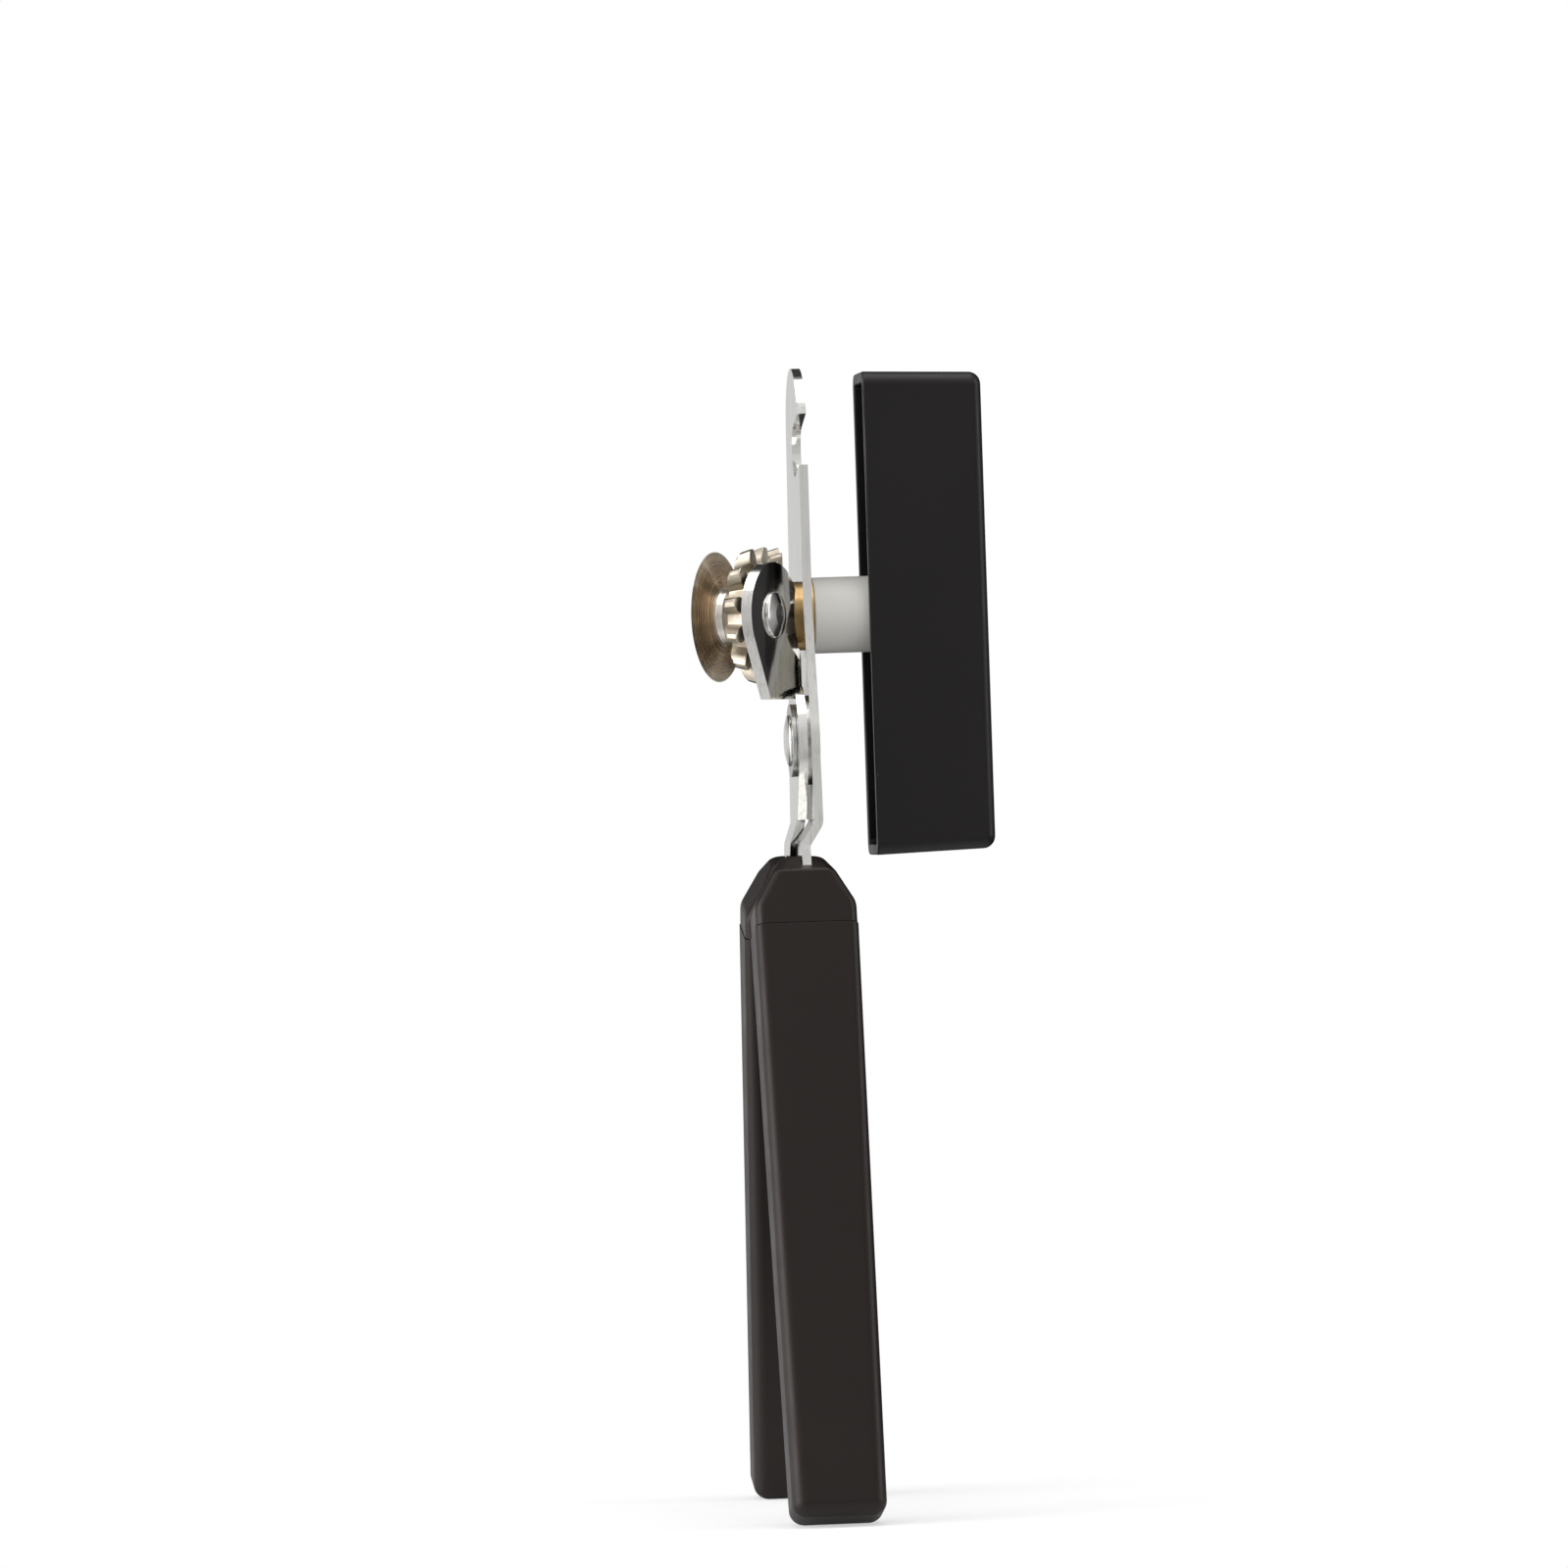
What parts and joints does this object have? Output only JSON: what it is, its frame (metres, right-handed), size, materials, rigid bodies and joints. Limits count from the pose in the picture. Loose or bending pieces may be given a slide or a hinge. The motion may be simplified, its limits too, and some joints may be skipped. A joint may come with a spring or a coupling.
{
  "type": "manual can opener",
  "caption": "Plier-type can opener: crossed chromed levers with straight dark handles, a long hollow turning key, a geared cutting wheel and a bottle-opener head.",
  "frame": {"origin": "centre of the bounding box's bottom: under the tool as it stands on its handle ends, jaws closed", "axes": "+Z along the tool from handle ends to head, +X across the levers towards the turning key, +Y from the cutter jaw to the feed jaw"},
  "size_m": [0.0552, 0.0866, 0.2047],
  "materials": {
    "lever_chrome": "bright chrome plate over blanked steel, faintly worn",
    "grip_plastic": "fine satin charcoal moulding",
    "cap_plastic": "smooth semi-gloss charcoal moulding",
    "key_plastic": "fine satin black moulding",
    "rivet_chrome": "bright plated, pressed dome",
    "washer_steel": "zinc-plated, fine scuffs",
    "sleeve_nylon": "natural off-white nylon, smooth",
    "bearing_bronze": "oiled sintered bronze",
    "shaft_steel": "turned and plated",
    "gear_nickel": "warm nickel plate over sintered steel",
    "feed_steel": "hardened steel, plated",
    "blade_steel": "ground steel with concentric grinding marks"
  },
  "bodies": {
    "key_lever": {"key_lever_plate": "lever_chrome", "near_grip": "grip_plastic", "near_grip_cap": "cap_plastic", "main_rivet": "rivet_chrome", "pivot_washer": "washer_steel", "rivet_washer": "washer_steel", "shaft_bushing": "bearing_bronze", "thrust_washer": "bearing_bronze"},
    "cutter_lever": {"cutter_lever_plate": "lever_chrome", "far_grip": "grip_plastic", "far_grip_cap": "cap_plastic", "cutter_arbor": "rivet_chrome", "arbor_washer": "washer_steel", "seat_washer": "washer_steel"},
    "key_drive": {"turning_key": "key_plastic", "drive_shaft": "shaft_steel", "spacer_sleeve": "sleeve_nylon", "drive_gear": "gear_nickel", "feed_wheel": "feed_steel", "shaft_washer": "washer_steel"},
    "cutter": {"cutter_disc": "blade_steel", "cutter_gear": "gear_nickel", "cutter_bush": "bearing_bronze"}
  },
  "joints": [
    {"name": "lever_pivot", "type": "hinge", "parent": "key_lever", "child": "cutter_lever", "pos_m": [-0.00842, 0, 0.13793], "axis": [1, 0, 0], "range_deg": [0, 35]},
    {"name": "key_turn", "type": "hinge", "parent": "key_lever", "child": "key_drive", "pos_m": [-0.00842, 0.009, 0.16033], "axis": [1, 0, 0], "continuous": true},
    {"name": "cutter_spin", "type": "hinge", "parent": "cutter_lever", "child": "cutter", "pos_m": [-0.02212, -0.00729, 0.16033], "axis": [0.8788, -0.4772, 0], "continuous": true}
  ],
  "couplings": [
    {"joint": "cutter_spin", "follows": "key_turn", "ratio": -1}
  ]
}
